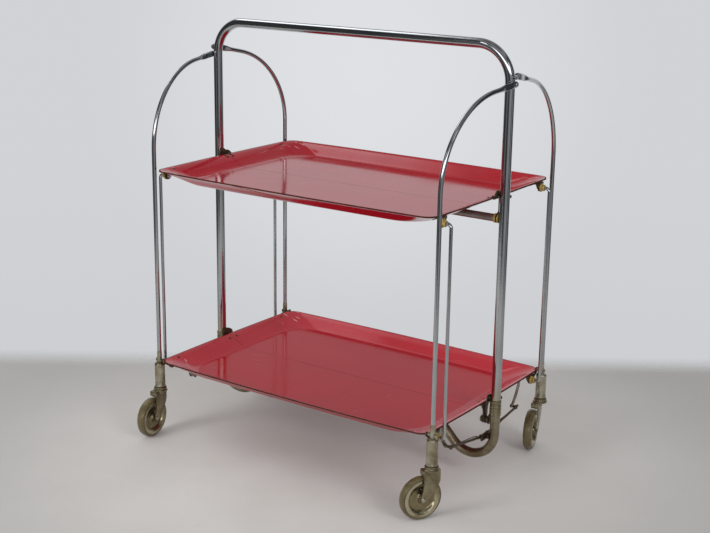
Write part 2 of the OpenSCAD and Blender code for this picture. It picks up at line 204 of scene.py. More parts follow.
def brass_mat():
    k = Mat("yellow_bush_resin")
    a = k.ramp(k.noise(120, 4, 0.6), 0.35, 0.7)
    c = k.mix(a, (0.44, 0.31, 0.09), (0.26, 0.17, 0.042))
    d = k.ramp(k.noise(260, 4, 0.6, off=(1, 5, 2)), 0.58, 0.74)
    c = k.mix(k.math("MULTIPLY", d, 0.5), c, (0.12, 0.075, 0.03))
    k.color(c)
    k.b.inputs["Metallic"].default_value = 0.35
    k.rough(k.ramp(k.noise(150, 4), 0.3, 0.7, 0.25, 0.45))
    k.bump(k.noise(600, 3), 0.08, 0.0002)
    return k.m


def red_mat(name, deep, pale, spec, gloss):
    k = Mat(name)
    big = k.ramp(k.noise(4.5, 3, 0.5), 0.3, 0.7)
    c = k.mix(big, deep, pale)
    fine = k.ramp(k.noise(900, 2, 0.5), 0.35, 0.65)
    c = k.mix(k.math("MULTIPLY", fine, 0.10), c, (0.46, 0.02, 0.03))
    # hairline scratches and a few dull scuffs
    s1 = k.ramp(k.noise(70, 3, 0.6, stretch=(0.12, 6, 1)), 0.655, 0.70)
    s2 = k.ramp(k.noise(60, 3, 0.6, stretch=(5, 0.15, 1), off=(2, 0, 4)), 0.665, 0.71)
    sc = k.math("MAXIMUM", s1, s2)
    patch = k.ramp(k.noise(7, 4, 0.6, off=(7, 3, 0)), 0.45, 0.62)
    sc = k.math("MULTIPLY", sc, patch)
    c = k.mix(k.math("MULTIPLY", sc, 0.14), c, (0.60, 0.25, 0.26))
    xyz = k.n("ShaderNodeSeparateXYZ")
    k.l(k.co, xyz.inputs[0])
    ends = k.ramp(k.math("ABSOLUTE", xyz.outputs[0], 0.0), 0.238, 0.262)
    sides = k.ramp(k.math("ABSOLUTE", xyz.outputs[1], 0.0), 0.128, 0.150)
    nick = k.ramp(k.noise(38, 2, 0.5, stretch=(1, 7, 1), off=(1, 0, 3)), 0.665, 0.70)
    nick = k.math("MULTIPLY", k.math("MULTIPLY", ends, sides), nick)
    c = k.mix(k.math("MULTIPLY", nick, 0.5), c, (0.70, 0.50, 0.48))
    rim = k.ramp(k.noise(85, 4, 0.7, off=(4, 4, 1)), 0.64, 0.69)
    edge = k.math("MAXIMUM", k.ramp(k.math("ABSOLUTE", xyz.outputs[0], 0.0), 0.2895, 0.2925), k.ramp(k.math("ABSOLUTE", xyz.outputs[1], 0.0), 0.2005, 0.2025))
    c = k.mix(k.math("MULTIPLY", k.math("MULTIPLY", rim, edge), 0.8), c, (0.10, 0.03, 0.025))
    k.color(c)
    r = k.ramp(k.noise(14, 5, 0.6), 0.3, 0.75, gloss, gloss + 0.07)
    r = k.math("ADD", r, k.math("MULTIPLY", sc, 0.18))
    k.rough(r)
    k.b.inputs["IOR"].default_value = 1.5
    k.b.inputs["Specular IOR Level"].default_value = spec
    k.bump(k.noise(22, 2, 0.4), 0.02, 0.002)
    return k.m


def edge_mat():
    k = Mat("laminate_core_edge")
    a = k.ramp(k.noise(60, 4, 0.6, stretch=(1, 1, 8)), 0.3, 0.7)
    c = k.mix(a, (0.030, 0.008, 0.006), (0.075, 0.018, 0.013))
    k.color(c)
    k.b.inputs["Specular IOR Level"].default_value = 0.1
    k.rough(k.ramp(k.noise(150, 3), 0.3, 0.7, 0.6, 0.8))
    k.bump(k.noise(300, 3, 0.5, stretch=(1, 1, 5)), 0.15, 0.0003)
    return k.m


def tyre_mat():
    k = Mat("olive_hard_rubber")
    a = k.ramp(k.noise(45, 5, 0.6), 0.3, 0.7)
    b = k.ramp(k.noise(150, 5, 0.7, off=(2, 4, 1)), 0.56, 0.72)
    c = k.mix(a, (0.100, 0.078, 0.036), (0.060, 0.046, 0.020))
    c = k.mix(k.math("MULTIPLY", b, 0.4), c, (0.20, 0.165, 0.09))
    k.color(c)
    k.rough(k.ramp(k.noise(60, 4), 0.3, 0.7, 0.20, 0.34))
    k.bump(k.noise(380, 5, 0.6), 0.12, 0.0003)
    return k.m


M_CHROME = chrome_mat("chrome_plate", 0.215, 0.150)
M_ROD = chrome_mat("chrome_rod_plate", 0.150, 0.120)
M_NICKEL = nickel_mat(rough=0.15)
M_BOW = nickel_mat("tarnished_bow_plate", (0.31, 0.275, 0.200), (0.175, 0.130, 0.074), (0.13, 0.065, 0.03), 0.5)
M_FORK = nickel_mat("tarnished_fork_plate", (0.34, 0.30, 0.195), (0.165, 0.134, 0.075), (0.115, 0.07, 0.035), 0.35, 0.14)
M_DISC = nickel_mat("tarnished_wheel_disc", (0.27, 0.225, 0.13), (0.12, 0.095, 0.052), (0.07, 0.048, 0.025), 0.4, 0.14)
M_RING = nickel_mat("wheel_ring_plate", (0.50, 0.45, 0.31), (0.25, 0.21, 0.12), (0.14, 0.095, 0.045), 0.3, 0.07)
M_BRONZE = bronze_mat()
M_BAR = nickel_mat("dulled_bar_plate", (0.40, 0.37, 0.35), (0.25, 0.21, 0.18), (0.14, 0.09, 0.06), 0.3, 0.36)
M_STRAP = nickel_mat("tarnished_strap_plate", (0.42, 0.40, 0.34), (0.20, 0.17, 0.115), (0.12, 0.075, 0.04), 0.4)
M_BRASS = brass_mat()
M_RED = red_mat("red_laminate", (0.268, 0.0055, 0.0120), (0.240, 0.0046, 0.0100), 0.48, 0.08)
# painted light: the lower tray's red is a lighter copy of the upper tray's red, standing in for light on the lower
# tray; its weaker specular level and rougher gloss stand for worn laminate
M_RED_LOW = red_mat("red_laminate_worn_painted_light", (0.312, 0.0055, 0.0130), (0.280, 0.0046, 0.0110), 0.10, 0.10)
# painted sheen: the lower tray's rim slopes get a paler, pinker red that stands in for the sheen of light on them;
# their own specular level is real
M_RED_RIM = red_mat("red_laminate_rim_painted_sheen", (0.365, 0.036, 0.047), (0.320, 0.028, 0.037), 0.27, 0.14)
M_EDGE = edge_mat()
M_TYRE = tyre_mat()


# ------------------------------------------------------------ mesh helpers
def make(name, verts, faces, mats, body, nodes=(), index=None, angle=38.0, smooth=True):
    """A mesh object from vertices in millimetres."""
    me = bpy.data.meshes.new(name)
    me.from_pydata([tuple(c * MM for c in v) for v in verts], [], faces)
    for mt in mats:
        me.materials.append(mt)
    if index:
        me.polygons.foreach_set("material_index", index)
    bm = bmesh.new()
    bm.from_mesh(me)
    bmesh.ops.remove_doubles(bm, verts=bm.verts, dist=1e-7)
    bmesh.ops.recalc_face_normals(bm, faces=bm.faces)
    bm.to_mesh(me)
    bm.free()
    if smooth:
        me.polygons.foreach_set("use_smooth", [True] * len(me.polygons))
        me.set_sharp_from_angle(angle=math.radians(angle))
    me.update()
    o = bpy.data.objects.new(name, me)
    scene.collection.objects.link(o)
    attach(o, body)
    if nodes:
        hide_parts(*nodes)
    return o


class Shape:
    """Collects closed shells of one piece."""

    def __init__(self):
        self.v, self.f, self.i = [], [], []

    def add(self, verts, faces, mat=0):
        n = len(self.v)
        self.v += [Vector(p) for p in verts]
        self.f += [tuple(k + n for k in f) for f in faces]
        self.i += ([mat] * len(faces)) if isinstance(mat, int) else mat

    def build(self, name, mats, body, nodes=(), angle=38.0):
        return make(name, self.v, self.f, mats, body, nodes, self.i, angle)


def fillet(pts, r, n=4):
    """Rounds the corners of a closed 2-D polygon; r is one radius or one for each corner."""
    out = []
    N = len(pts)
    rs = r if isinstance(r, (list, tuple)) else [r] * N
    for i in range(N):
        p0, p, p1 = (Vector(pts[(i - 1) % N]), Vector(pts[i]), Vector(pts[(i + 1) % N]))
        a, b = (p0 - p), (p1 - p)
        la, lb = a.length, b.length
        if rs[i] <= 0 or la < 1e-6 or lb < 1e-6:
            out.append(p)
            continue
        a /= la
        b /= lb
        ang = math.acos(max(-1, min(1, a.dot(b))))
        if ang > math.pi - 0.05 or ang < 0.02:
            out.append(p)
            continue
        d = min(rs[i] / math.tan(ang / 2), la * 0.48, lb * 0.48)
        rr = d * math.tan(ang / 2)
        c = p + (a + b).normalized() * (rr / math.sin(ang / 2))
        s, e = p + a * d, p + b * d
        a0 = math.atan2(*(s - c).yx)
        a1 = math.atan2(*(e - c).yx)
        da = (a1 - a0 + math.pi) % (2 * math.pi) - math.pi
        for k in range(n + 1):
            t = a0 + da * k / n
            out.append(c + Vector((math.cos(t), math.sin(t))) * rr)
    return out


def basis(axis):
    w = Vector(axis).normalized()
    ref = Vector((0, 0, 1)) if abs(w.z) < 0.9 else Vector((1, 0, 0))
    u = ref.cross(w).normalized()
    return u, w.cross(u), w


def lathe(sh, prof, c, axis, seg=64, mat=0, closed=True, mats=None):
    """Revolves a closed profile of (radius, height) about an axis through c."""
    u, v, w = basis(axis)
    c = Vector(c)
    rings, verts = [], []
    for r, h in prof:
        if r < 1e-6:
            rings.append([len(verts)])
            verts.append(c + w * h)
        else:
            rings.append(list(range(len(verts), len(verts) + seg)))
            for k in range(seg):
                a = 2 * math.pi * k / seg
                verts.append(c + w * h + (u * math.cos(a) + v * math.sin(a)) * r)
    faces, idx = [], []
    n = len(prof)
    for i in range(n if closed else n - 1):
        A, B = rings[i], rings[(i + 1) % n]
        if len(A) == 1 and len(B) == 1:
            continue
        for k in range(seg):
            j = (k + 1) % seg
            if len(A) == 1:
                faces.append((A[0], B[j], B[k]))
            elif len(B) == 1:
                faces.append((A[k], A[j], B[0]))
            else:
                faces.append((A[k], A[j], B[j], B[k]))
            idx.append(mats[i] if mats else mat)
    sh.add(verts, faces, idx)


def sweep(sh, pts, section, N=None, mat=0, cap=True):
    """Sweeps closed sections along a polyline. section is a list of 2-D points or a function of the index.
    With N, the path lies in a plane of that normal; else the frame is carried along."""
    pts = [Vector(p) for p in pts]
    n = len(pts)
    verts, rings = [], []
    nrm = Vector(N).normalized() if N is not None else None
    carried = None
    for i in range(n):
        t = (pts[min(i + 1, n - 1)] - pts[max(i - 1, 0)]).normalized()
        if nrm is not None:
            a = nrm
            b = t.cross(a).normalized()
        else:
            if carried is None:
                ref = Vector((0, 0, 1)) if abs(t.z) < 0.9 else Vector((1, 0, 0))
                a = ref.cross(t).normalized()
            else:
                a = (carried - t * carried.dot(t)).normalized()
            carried = a
            b = t.cross(a).normalized()
        sec = section(i) if callable(section) else section
        # keep the width true on the mitre of a bend
        k = 1.0
        if 0 < i < n - 1:
            t0, t1 = (pts[i] - pts[i - 1]).normalized(), (pts[i + 1] - pts[i]).normalized()
            k = 1.0 / max(0.8, math.sqrt(max(0.0, (1 + t0.dot(t1)) / 2)))
        rings.append(list(range(len(verts), len(verts) + len(sec))))
        for q in sec:
            verts.append(pts[i] + a * q[0] + b * q[1] * k)
    faces = []
    m_ = len(rings[0])
    for i in range(n - 1):
        for k in range(m_):
            j = (k + 1) % m_
            faces.append((rings[i][k], rings[i][j], rings[i + 1][j], rings[i + 1][k]))
    if cap:
        faces.append(tuple(reversed(rings[0])))
        faces.append(tuple(rings[-1]))
    sh.add(verts, faces, mat)


def circle(r, seg=28, ry=None):
    return [(r * math.cos(2 * math.pi * k / seg), (ry or r) * math.sin(2 * math.pi * k / seg)) for k in range(seg)]


def arc(c, R, a0, a1, n):
    return [Vector((c[0] + R * math.cos(math.radians(a0 + (a1 - a0) * k / n)),
                    c[1] + R * math.sin(math.radians(a0 + (a1 - a0) * k / n)))) for k in range(n + 1)]


def line(p, q, n):
    p, q = Vector(p), Vector(q)
    return [p + (q - p) * (k / n) for k in range(n + 1)]


def join(*parts):
    out = []
    for p in parts:
        for q in p:
            if not out or (out[-1] - q).length > 1e-4:
                out.append(q)
    return out


def plate(sh, outline, o, u, v, w, t, bev=0.45, mat=0, holes=(), seg=2):
    """A flat plate: outline in u, v from o, thickness t along w, with rounded edges and round holes (cu, cv, r)."""
    o, u, v, w = Vector(o), Vector(u), Vector(v), Vector(w)
    bm = bmesh.new()
    bv = [bm.verts.new(o + u * p[0] + v * p[1]) for p in outline]
    loops = [[bm.edges.new((bv[i], bv[(i + 1) % len(bv)])) for i in range(len(bv))]]
    for cu, cv, r in holes:
        hv = [bm.verts.new(o + u * (cu + r * math.cos(2 * math.pi * k / 24)) + v * (cv + r * math.sin(2 * math.pi * k / 24))) for k in range(24)]
        loops.append([bm.edges.new((hv[i], hv[(i + 1) % 24])) for i in range(24)])
    if holes:
        bmesh.ops.triangle_fill(bm, use_beauty=True, use_dissolve=False, edges=[e for l in loops for e in l])
    else:
        bm.faces.new(bv)
    r = bmesh.ops.extrude_face_region(bm, geom=list(bm.faces))
    moved = [g for g in r["geom"] if isinstance(g, bmesh.types.BMVert)]
    bmesh.ops.translate(bm, verts=moved, vec=w * t)
    bmesh.ops.recalc_face_normals(bm, faces=bm.faces)
    edges = [e for e in bm.edges if len(e.link_faces) == 2 and abs(e.link_faces[0].normal.dot(w)) > 0.9 and abs(e.link_faces[1].normal.dot(w)) < 0.1
             or len(e.link_faces) == 2 and abs(e.link_faces[1].normal.dot(w)) > 0.9 and abs(e.link_faces[0].normal.dot(w)) < 0.1]
    if bev > 0:
        bmesh.ops.bevel(bm, geom=edges, offset=bev, segments=seg, affect="EDGES", profile=0.5, clamp_overlap=True)
    bm.verts.ensure_lookup_table()
    bm.verts.index_update()
    sh.add([x.co.copy() for x in bm.verts], [tuple(x.index for x in f.verts) for f in bm.faces], mat)
    bm.free()


X, Y, Z = Vector((1, 0, 0)), Vector((0, 1, 0)), Vector((0, 0, 1))
SIDE = {"front": -1, "rear": 1}

# -------------------------------------------------------------- main frame
UX, FR = 310.0, 8.5
hz, hr = 761.5, 60.0
sh = Shape()
side = join(line((UX, 141), (UX, hz - hr), 40), arc((UX - hr, hz - hr), hr, 0, 90, 28))
other = [Vector((-p.x, p.y)) for p in reversed(side)]
path = join(side, line((UX - hr, hz), (-UX + hr, hz), 40), other)
sweep(sh, [(p.x, 0, p.y) for p in path], circle(FR, 40), N=Y)
sh.build("handle_tube", [M_CHROME], "frame", ["handle_frame"])

bow_r, bow_z, bow_run = 47.0, 92.0, 95.0
k2 = math.sqrt(0.5)
rise = bow_run - (bow_z - bow_r * k2) - 30 * (1 - k2)
bp = (UX - bow_r - bow_r * k2, bow_z - bow_r * k2)
bq = (bp[0] - rise, bp[1] + rise)
side = join(line((UX, 141), (UX, bow_z), 6), arc((UX - bow_r, bow_z), bow_r, 0, -135, 36), line(bp, bq, 5),
            arc((bq[0] - 30 * k2, bq[1] - 30 * k2), 30, 45, 90, 10))
other = [Vector((-p.x, p.y)) for p in reversed(side)]
path = join(side, line((bq[0] - 30 * k2, bow_run), (-bq[0] + 30 * k2, bow_run), 24), other)
sh = Shape()
sweep(sh, [(p.x, 0, p.y) for p in path], circle(FR, 40), N=Y)
sh.build("bow_tube", [M_BOW], "frame", ["base_bow"])

sh = Shape()
prof = fillet([(FR + 0.05, 126), (9.7, 126), (9.7, 133), (9.1, 133.6), (9.1, 135), (9.95, 135.8), (9.95, 139), (9.1, 139.8), (9.1, 141.2),
               (9.95, 142), (9.95, 145), (9.1, 145.8), (9.1, 147.2), (9.8, 148), (9.8, 154.2), (FR + 0.05, 155)], 0.45, 3)
for s in (-1, 1):
    lathe(sh, prof, (s * UX, 0, 0), Z, 64)
sh.build("grooved_sleeves", [M_FORK], "frame", ["frame_ferrules"])

# stay bracket: plate, lug, pins with heads
SZ = 84.2
sh = Shape()
for s in (-1, 1):
    plate(sh, fillet([(-18, SZ - 6), (18, SZ - 6), (18, SZ + 3), (10, SZ + 7), (-10, SZ + 7), (-18, SZ + 3)], 3.0), (s * 292.5, 0, 0), Y, Z, X * s, 2.5, 0.5)
    plate(sh, fillet([(-5, SZ - 4), (5, SZ - 4), (5, SZ + 4), (-5, SZ + 4)], 1.2), (s * 294.6, 0, 0), Y, Z, X * s, 6.6, 0.5)
    for t in (-1, 1):
        lathe(sh, [(0, 287.0), (2.6, 287.0), (3.9, 287.5), (4.3, 288.2), (2.5, 288.3), (2.5, 293.0), (0, 293.0)], (0, t * 11, SZ), X * s, 32)
sh.build("stay_pivot_plates", [M_BRONZE], "frame", ["stay_brackets"])

# leg pivots: pin, washer and domed head on the outside of each upright
sh = Shape()
for s in (-1, 1):
    for zp in (700, 713):
        lathe(sh, [(0, 318.2), (2.0, 318.2), (2.0, 322.9), (0, 322.9)], (0, 0, zp), X * s, 24)
        lathe(sh, [(0, 322.85), (3.9, 322.85), (4.1, 323.3), (3.4, 324.3), (2.0, 324.9), (0, 325.1)], (0, 0, zp), X * s, 32)
sh.build("leg_pivot_rivets", [M_CHROME], "frame", ())

# ----------------------------------------------------------- sliders, bar
sh = Shape()
prof = fillet([(0.0, -299.4), (3.9, -299.4), (3.9, -296.5), (6.5, -296.5), (6.5, 296.5), (3.9, 296.5), (3.9, 299.4), (0.0, 299.4)], [0, 0, 0, 0.6, 0.6, 0, 0, 0], 3)
lathe(sh, prof, (0, 0, 475), X, 48, closed=False)
sh.build("lift_bar", [M_BAR], "upper_runner", ["grab_bar"])
sh = Shape()
for s in (-1, 1):
    prof = fillet([(6.55, 292.6), (7.6, 292.6), (8.0, 293.4), (8.0, 295.8), (7.7, 296.4), (6.55, 296.4)], 0.4, 3)
    lathe(sh, prof, (0, 0, 475), X * s, 48)
    prof = fillet([(0.0, 299.5), (7.9, 299.5), (8.2, 300.2), (7.6, 301.2), (4.0, 301.4), (0.0, 301.4)], [0, 0.2, 0.3, 0.3, 0, 0], 2)
    lathe(sh, prof, (0, 0, 475), X * s, 48, closed=False)
sh.build("lift_bar_bushes", [M_BRASS], "upper_runner", ["grab_bar_bushes"])


def slider(sh, za, zt, zr, pin, lug, eye):
    """Guide plate of one slide: an eye at the axis, a strap beside the upright, a low lug on top and a clip round the upright's rear."""
    for s in (-1, 1):
        clip = [(298.9, 0.6), (299.9, 2.6), (301.3, 4.3)]
        clip += [(310 + 9.1 * math.cos(math.radians(a)), 9.1 * math.sin(math.radians(a))) for a in range(146, 43, -6)]
        clip += [(310 + 9.7 * math.cos(math.radians(40)), 9.7 * math.sin(math.radians(40))), (310 + 10.9 * math.cos(math.radians(41)), 10.9 * math.sin(math.radians(41)))]
        sweep(sh, [Vector((s * x, y, zr)) for x, y in clip], [(-2.4, -0.4), (-2.1, -0.5), (2.1, -0.5), (2.4, -0.4), (2.4, 0.4), (2.1, 0.5), (-2.1, 0.5), (-2.4, 0.4)], N=Z)
        # strap from the eye up to the lug
        o = [Vector((eye * math.cos(math.radians(a)), za + eye * math.sin(math.radians(a)))) for a in range(50, -231, -14)]
        o += [Vector((2.0, za + 12)), Vector((2.0, zt - 14))] + [Vector((y, zt + z)) for y, z in lug] + [Vector((8.2, zt - 14)), Vector((8.2, za + 10))]
        plate(sh, o, (s * 297.0, 0, 0), Y, Z, X * s, 2.3, 0.4, holes=[(0, za, pin)] if pin else [])
        cheek = fillet([(299.0, -4.6), (299.0, -8.2), (303.0, -8.8), (303.8, -7.6), (302.2, -5.2)], 0.5)
        plate(sh, [(p.x * s, p.y) for p in cheek], (0, 0, zr - 2.0), X, Y, Z, 3.4, 0.3)
        lathe(sh, [(0, -0.2), (2.3, -0.2), (2.2, 0.5), (1.5, 1.0), (0, 1.2)], (s * 297.0, 0, zt - 7.5), X * -s, 24)


sh = Shape()
slider(sh, 475, 523.5, 513.5, 0, [(-17, -14), (-15.5, -11), (-9, -1.6), (-5, 0), (-1, -0.4), (4, -4.2), (9, -4.6), (14, -6.6), (20.5, -12), (21, -14)], 7.7)
sh.build("upper_slide_plates", [M_BRONZE], "upper_runner", ["upper_sliders"])
sh = Shape()
slider(sh, 114, 163, 158.2, 4.05, [(-14, -13), (-12.5, -10), (-9, -2.4), (-5, 0), (1, -0.4), (6, -1.4), (12, -4.2), (17, -8.6), (18, -13)], 7.0)
sh.build("lower_slide_plates", [M_BRONZE], "lower_runner", ["lower_sliders"])
sh = Shape()
for s in (-1, 1):
    lathe(sh, [(0, 282.3), (4.5, 282.4), (5.7, 283.0), (6.0, 284.2), (4.0, 284.5), (4.0, 299.4), (3.2, 300.1), (0, 300.3)], (0, 0, 114), X * s, 40)
sh.build("lower_pivot_pins", [M_NICKEL], "lower_runner", ["lower_hinge_pins"])

# ------------------------------------------------------------------- trays
TL, TW, TT = 294.5, 204.0, 2.5
# cross-section of the rim: distance in from the edge, height
RIM = [(0.0, 0.0), (1.0, -0.05), (3.0, -0.6), (6.5, -2.1), (11.0, -4.7), (16.0, -8.1), (21.0, -12.0), (25.5, -15.7), (29.0, -18.2),
       (31.5, -19.4), (34.0, -19.9), (37.0, -20.0)]
END_RUN = 1.34      # the rims at the two ends run out further than those along the sides
BOW_LONG, BOW_END = 6.0, 3.0


def ring_pts(w, n_end=24, n_cor=14, n_long=48):
    """Half outline of the tray (y below 0) at distance w in from the edge, from the right seam end to the left one."""
    f = min(1.0, w / 32.0)
    r = 21.0 + 35.0 * f
    lx, ly = TL - w * END_RUN, TW - w
    be, bl = BOW_END * (1 - 0.35 * f), BOW_LONG * (1 - 0.45 * f)

    def ex(y):  # half length at y
        return lx - be * (y / TW) ** 2

    def ey(x):  # half width at x
        return ly - bl * (x / TL) ** 2

    cx, cy = ex(ly - r) - r, ey(lx - r) - r
    pts = []
    for k in range(n_end):
        y = -0.3 - (cy - 0.3) * k / n_end
        pts.append(Vector((ex(y) - 0.0, y)))
    ddx = ex(cy) - (cx + r)
    ddy = ey(cx) - (cy + r)
    for k in range(n_cor + 1):
        a = -math.pi / 2 * k / n_cor
        t = k / n_cor
        pts.append(Vector((cx + r * math.cos(a) + ddx * (1 - t), -(cy - r * math.sin(a)) - ddy * t)))
    for k in range(1, n_long + 1):
        x = cx * (1 - k / n_long)
        pts.append(Vector((x, -ey(x))))
    left = [Vector((-p.x, p.y)) for p in reversed(pts[:-1])]
    return pts + left


def tray(name, body, node, zrim, t):
    rings_top, rings_bot = [], []
    verts = []
    for w, h in RIM:
        pr = ring_pts(w)
        rings_top.append(list(range(len(verts), len(verts) + len(pr))))
        verts += [Vector((p.x, p.y, h)) for p in pr]
    for q, (w, h) in enumerate(RIM):
        pr = ring_pts(w)
        # thickness square to the surface
        i0, i1 = max(0, q - 1), min(len(RIM) - 1, q + 1)
        dw, dh = RIM[i1][0] - RIM[i0][0], RIM[i1][1] - RIM[i0][1]
        L = math.hypot(dw, dh)
        off = Vector((-dh / L, dw / L)) * TT     # towards the middle and up
        pr2 = ring_pts(max(0.0, w - off.x * 0.55)) if q > 1 else pr
        rings_bot.append(list(range(len(verts), len(verts) + len(pr))))
        verts += [Vector((p.x, p.y, h - TT / max(0.8, dw / L))) for p in pr2]
    n = len(rings_top[0])
    faces, idx = [], []
    for R, flip in ((rings_top, False), (rings_bot, True)):
        for i in range(len(R) - 1):
            for k in range(n - 1):
                f = (R[i][k], R[i][k + 1], R[i + 1][k + 1], R[i + 1][k])
                faces.append(tuple(reversed(f)) if flip else f)
                # on the lower tray the inner rim rings take material 2, the paler red with painted sheen
                idx.append(1 if i == 0 and not flip else 2 if i < 9 and not flip and zrim < 300 else 0)
        f = tuple(R[-1])
        faces.append(tuple(reversed(f)) if flip else f)
        idx.append(0)
    # rim edge with a slightly rounded middle
    mid = []
    for k in range(n):
        a, b = verts[rings_top[0][k]], verts[rings_bot[0][k]]
        c = (a + b) / 2
        d = Vector((c.x / TL, c.y / TW, 0)).normalized() * 0.25
        mid.append(len(verts))
        verts.append(c + (d if 0 < k < n - 1 else Vector((d.x, 0, 0))))
    for k in range(n - 1):
        faces.append((rings_top[0][k + 1], rings_top[0][k], mid[k], mid[k + 1]))
        faces.append((mid[k + 1], mid[k], rings_bot[0][k], rings_bot[0][k + 1]))
        idx += [1, 1]
    # seam edge
    right_t, right_b = [R[0] for R in rings_top], [R[0] for R in rings_bot]
    left_t, left_b = [R[-1] for R in rings_top], [R[-1] for R in rings_bot]
    loop = right_t + list(reversed(left_t)) + [mid[-1]] + left_b + list(reversed(right_b)) + [mid[0]]
    faces.append(tuple(loop))
    idx.append(1)
    sy = -1 if t > 0 else 1
    vv = [Vector((v.x, v.y * sy, v.z + zrim)) for v in verts]
    # the lower tray takes the lighter red with painted light, and on its rim slopes the red with painted sheen
    return make(name, vv, faces, [M_RED if zrim > 300 else M_RED_LOW, M_EDGE] + ([] if zrim > 300 else [M_RED_RIM]), body, [node], idx, angle=50)


for lvl, zr in (("upper", 512.0), ("lower", 151.0)):
    for sd, t in SIDE.items():
        tray(f"{lvl}_{sd}_tray_board", f"{lvl}_{sd}", f"{lvl}_tray_{sd}", zr, t)


def rim_h(x):
    """Height of the tray's surface on the end rim at x."""
    w = (TL - x) / END_RUN
    for (w0, h0), (w1, h1) in zip(RIM, RIM[1:]):
        if w0 <= w <= w1:
            return h0 + (h1 - h0) * (w - w0) / (w1 - w0)
    return RIM[-1][1]


def under(x):
    """Height of the underside of the end rim at x."""
    return rim_h(x) - TT - 0.25


# ------------------------------------------------------------ tray fittings
def corner(sh, zr, t, low):
    for s in (-1, 1):
        o = [(-151, -4.6), (-176, -4.6), (-177.5, -7), (-173.5, -16), (-171, -20), (-166.5, -21.4), (-161.5, -20.4), (-156, -14.5), (-151, -8)]
        o = fillet(o, [1, 1, 1.5, 3, 3, 4, 4, 5, 3])
        plate(sh, [(p.x * -t, p.y) for p in o], (s * 288.3, 0, zr), Y, Z, X * s, 2.4, 0.5)
        # folded foot against the underside of the rim
        f = [(276, under(276)), (289.6, under(289.6)), (289.6, under(289.6) - 1.6), (276, under(276) - 1.6)]
        plate(sh, [(p[0] * s, p[1]) for p in f], (0, t * 151, zr), X, Z, Y * t, 21, 0.35)
        if low:
            o = fillet([(-168, -8), (-182, -6.4), (-186, -4.4), (-190, 4.2), (-195.0, 2.4), (-195.6, -2.8), (-190, -6.8), (-180, -13), (-170, -19)], [2, 3, 3, 5, 3, 3, 4, 4, 3])
            plate(sh, [(p.x * -t, p.y) for p in o], (s * 288.3, 0, zr), Y, Z, X * s, 2.4, 0.5)
        # a rivet through the foot, with a flat head on the rim
        for yy, xx in ((156, 283.0),):
            lathe(sh, [(0, -5.0), (1.4, -5.0), (1.4, 0.25), (2.9, 0.3), (2.7, 0.75), (1.6, 1.15), (0, 1.25)],
                  (s * xx, t * yy, zr + rim_h(xx)), Vector((-s * 0.53, 0, 0.85)), 24)


def upper_leaf(sh, x0, t):
    for s in (-1, 1):
        ring = fillet([(6.6, x0), (9.8, x0), (9.8, x0 + 4), (6.6, x0 + 4)], 0.5, 3)
        lathe(sh, ring, (0, 0, 475), X * s, 48)
        o = fillet([(-8.5, -33), (-12, -26), (-14, -24.2), (-40, -24.2), (-40, -31), (-30, -39.5), (-9, -41.8)], [1, 3, 1, 1, 3, 4, 2])
        plate(sh, [(p.x * -t, p.y) for p in o], (s * x0, 0, 512), Y, Z, X * s, 4, 0.5)
        f = fillet([(-8, 0), (12, 0), (12, 36), (-8, 36)], 3.0)
        plate(sh, [((x0 + p.x) * s, t * (4 + p.y)) for p in f], (0, 0, 512 - 24.5), X, Y, Z, 1.7, 0.35)
        for yy in (12, 32):
            for xx in (-4.5, 8.5):
                lathe(sh, [(0, -25.4), (1.8, -25.3), (2.3, -24.8), (2.4, -24.0), (0, -24.0)], (s * (x0 + xx), t * yy, 512), Z, 20)


def lower_leaf(sh, x0, t):
    for s in (-1, 1):
        ring = fillet([(4.1, x0), (6.6, x0), (6.6, x0 + 3), (4.1, x0 + 3)], 0.45, 3)
        lathe(sh, ring, (0, 0, 114), X * s, 40)
        o = fillet([(-4.6, -32.4), (-5.0, -14), (-5.0, under(x0) - 0.2), (-16, under(x0) - 0.2), (-15.5, -9), (-11.2, -15), (-9.4, -32), (-8.0, -38.6), (-4.2, -41.2)], [1, 3, 1, 1, 2, 4, 3, 2, 1])
        plate(sh, [(p.x * -t, p.y) for p in o], (s * x0, 0, 151), Y, Z, X * s, 3, 0.45)
        f = [(274, under(274)), (x0 + 3, under(x0 + 3)), (x0 + 3, under(x0 + 3) - 1.6), (274, under(274) - 1.6)]
        plate(sh, [(p[0] * s, p[1]) for p in f], (0, t * 4, 151), X, Z, Y * t, 20, 0.35)
        for yy in (10,):
            lathe(sh, [(0, -5.0), (1.4, -5.0), (1.4, 0.25), (2.7, 0.3), (2.5, 0.7), (1.5, 1.05), (0, 1.15)],
                  (s * 281, t * yy, 151 + rim_h(281)), Vector((-s * 0.53, 0, 0.85)), 24)


